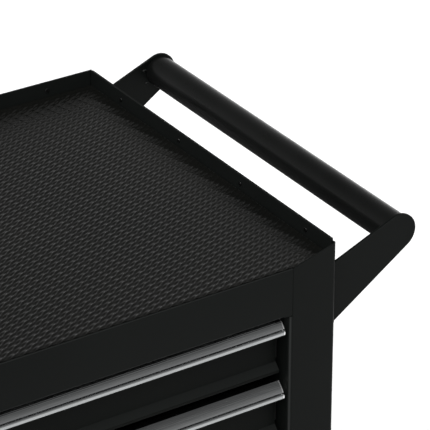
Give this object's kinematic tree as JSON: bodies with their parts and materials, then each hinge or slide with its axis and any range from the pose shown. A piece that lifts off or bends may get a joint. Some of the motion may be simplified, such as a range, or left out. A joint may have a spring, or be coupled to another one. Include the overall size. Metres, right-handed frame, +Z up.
{
  "type": "rolling tool chest",
  "caption": "Rolling steel tool chest with drawers on telescopic slides, full-width ribbed pulls, a matted top tray, a side push handle, a central lock and casters.",
  "frame": {"origin": "on the floor, at the centre of the footprint's box, push handle included", "axes": "+X towards the push handle's side, +Y towards the back, +Z up"},
  "size_m": [0.774, 0.4596, 0.8815],
  "materials": {
    "body_paint": "satin black powder coat",
    "drawer_paint": "satin black powder coat",
    "handle_paint": "satin black powder coat",
    "mat": "embossed grain",
    "liner": "matte",
    "pull": "ribbed satin anodised",
    "slide_steel": "zinc plated",
    "fastener": "zinc plated",
    "rivet": "satin",
    "chrome": "polished",
    "caster_steel": "zinc plated",
    "pedal": "satin",
    "hub": "moulded",
    "tyre": "matte"
  },
  "bodies": {
    "cabinet": {"side_panel_left": "body_paint", "side_panel_right": "body_paint", "back_panel": "body_paint", "bottom_panel": "body_paint", "top_tray": "body_paint", "tray_mat": "mat", "tray_rivets": "rivet", "front_top_rail": "body_paint", "front_bottom_rail": "body_paint", "slide_columns": "body_paint", "slide_outer_members": "slide_steel", "handle_tube": "handle_paint", "handle_bracket_front": "handle_paint", "handle_bracket_rear": "handle_paint", "handle_bolts": "handle_paint", "lock_housing": "chrome", "fixed_caster_forks": "caster_steel", "swivel_caster_plates": "caster_steel", "caster_bolts": "fastener"},
    "lock_core": {"lock_core": "chrome"},
    "lock_bar": {"lock_bar": "slide_steel"},
    "drawer_1": {"drawer_1_box": "drawer_paint", "drawer_1_pull": "pull", "drawer_1_liner": "liner", "drawer_1_slide_inner": "slide_steel"},
    "drawer_1_slides": {"drawer_1_slide_middle": "slide_steel"},
    "drawer_2": {"drawer_2_box": "drawer_paint", "drawer_2_pull": "pull", "drawer_2_liner": "liner", "drawer_2_slide_inner": "slide_steel"},
    "drawer_2_slides": {"drawer_2_slide_middle": "slide_steel"},
    "drawer_3": {"drawer_3_box": "drawer_paint", "drawer_3_pull": "pull", "drawer_3_liner": "liner", "drawer_3_slide_inner": "slide_steel"},
    "drawer_3_slides": {"drawer_3_slide_middle": "slide_steel"},
    "drawer_4": {"drawer_4_box": "drawer_paint", "drawer_4_pull": "pull", "drawer_4_liner": "liner", "drawer_4_slide_inner": "slide_steel"},
    "drawer_4_slides": {"drawer_4_slide_middle": "slide_steel"},
    "drawer_5": {"drawer_5_box": "drawer_paint", "drawer_5_pull": "pull", "drawer_5_liner": "liner", "drawer_5_slide_inner": "slide_steel"},
    "drawer_5_slides": {"drawer_5_slide_middle": "slide_steel"},
    "swivel_front": {"swivel_fork_front": "caster_steel", "swivel_axle_front": "fastener"},
    "brake_front": {"brake_pedal_front": "pedal"},
    "wheel_left_front": {"wheel_left_front_hub": "hub", "wheel_left_front_tyre": "tyre"},
    "wheel_right_front": {"wheel_right_front_hub": "hub", "wheel_right_front_tyre": "tyre"},
    "swivel_rear": {"swivel_fork_rear": "caster_steel", "swivel_axle_rear": "fastener"},
    "brake_rear": {"brake_pedal_rear": "pedal"},
    "wheel_left_rear": {"wheel_left_rear_hub": "hub", "wheel_left_rear_tyre": "tyre"},
    "wheel_right_rear": {"wheel_right_rear_hub": "hub", "wheel_right_rear_tyre": "tyre"}
  },
  "joints": [
    {"name": "lock_turn", "type": "hinge", "parent": "cabinet", "child": "lock_core", "pos_m": [-0.36, -0.22725, 0.832], "axis": [0, 1, 0], "range_deg": [0, 90]},
    {"name": "lock_bar_drop", "type": "slide", "parent": "cabinet", "child": "lock_bar", "axis": [0, 0, -1], "range_m": [0, 0.0099]},
    {"name": "drawer_1_open", "type": "slide", "parent": "cabinet", "child": "drawer_1", "axis": [0, -1, 0], "range_m": [0, 0.38]},
    {"name": "drawer_1_slides_extend", "type": "slide", "parent": "cabinet", "child": "drawer_1_slides", "axis": [0, -1, 0], "range_m": [0, 0.19]},
    {"name": "drawer_2_open", "type": "slide", "parent": "cabinet", "child": "drawer_2", "axis": [0, -1, 0], "range_m": [0, 0.38]},
    {"name": "drawer_2_slides_extend", "type": "slide", "parent": "cabinet", "child": "drawer_2_slides", "axis": [0, -1, 0], "range_m": [0, 0.19]},
    {"name": "drawer_3_open", "type": "slide", "parent": "cabinet", "child": "drawer_3", "axis": [0, -1, 0], "range_m": [0, 0.38]},
    {"name": "drawer_3_slides_extend", "type": "slide", "parent": "cabinet", "child": "drawer_3_slides", "axis": [0, -1, 0], "range_m": [0, 0.19]},
    {"name": "drawer_4_open", "type": "slide", "parent": "cabinet", "child": "drawer_4", "axis": [0, -1, 0], "range_m": [0, 0.38]},
    {"name": "drawer_4_slides_extend", "type": "slide", "parent": "cabinet", "child": "drawer_4_slides", "axis": [0, -1, 0], "range_m": [0, 0.19]},
    {"name": "drawer_5_open", "type": "slide", "parent": "cabinet", "child": "drawer_5", "axis": [0, -1, 0], "range_m": [0, 0.38]},
    {"name": "drawer_5_slides_extend", "type": "slide", "parent": "cabinet", "child": "drawer_5_slides", "axis": [0, -1, 0], "range_m": [0, 0.19]},
    {"name": "swivel_front_turn", "type": "hinge", "parent": "cabinet", "child": "swivel_front", "pos_m": [0.211, -0.16525, 0.16], "axis": [0, 0, 1], "continuous": true},
    {"name": "brake_front_press", "type": "hinge", "parent": "swivel_front", "child": "brake_front", "pos_m": [0.165, -0.16525, 0.136], "axis": [0, -1, 0], "range_deg": [0, 14]},
    {"name": "wheel_left_front_roll", "type": "hinge", "parent": "cabinet", "child": "wheel_left_front", "pos_m": [-0.309, -0.16525, 0.0635], "axis": [0, 1, 0], "continuous": true},
    {"name": "wheel_right_front_roll", "type": "hinge", "parent": "swivel_front", "child": "wheel_right_front", "pos_m": [0.176, -0.16525, 0.0635], "axis": [0, 1, 0], "continuous": true},
    {"name": "swivel_rear_turn", "type": "hinge", "parent": "cabinet", "child": "swivel_rear", "pos_m": [0.211, 0.16775, 0.16], "axis": [0, 0, 1], "continuous": true},
    {"name": "brake_rear_press", "type": "hinge", "parent": "swivel_rear", "child": "brake_rear", "pos_m": [0.165, 0.16775, 0.136], "axis": [0, -1, 0], "range_deg": [0, 14]},
    {"name": "wheel_left_rear_roll", "type": "hinge", "parent": "cabinet", "child": "wheel_left_rear", "pos_m": [-0.309, 0.16775, 0.0635], "axis": [0, 1, 0], "continuous": true},
    {"name": "wheel_right_rear_roll", "type": "hinge", "parent": "swivel_rear", "child": "wheel_right_rear", "pos_m": [0.176, 0.16775, 0.0635], "axis": [0, 1, 0], "continuous": true}
  ],
  "couplings": [
    {"joint": "lock_turn", "follows": "lock_bar_drop", "rad_per_m": 158.68},
    {"joint": "drawer_1_slides_extend", "follows": "drawer_1_open", "ratio": 0.5},
    {"joint": "drawer_2_slides_extend", "follows": "drawer_2_open", "ratio": 0.5},
    {"joint": "drawer_3_slides_extend", "follows": "drawer_3_open", "ratio": 0.5},
    {"joint": "drawer_4_slides_extend", "follows": "drawer_4_open", "ratio": 0.5},
    {"joint": "drawer_5_slides_extend", "follows": "drawer_5_open", "ratio": 0.5}
  ]
}
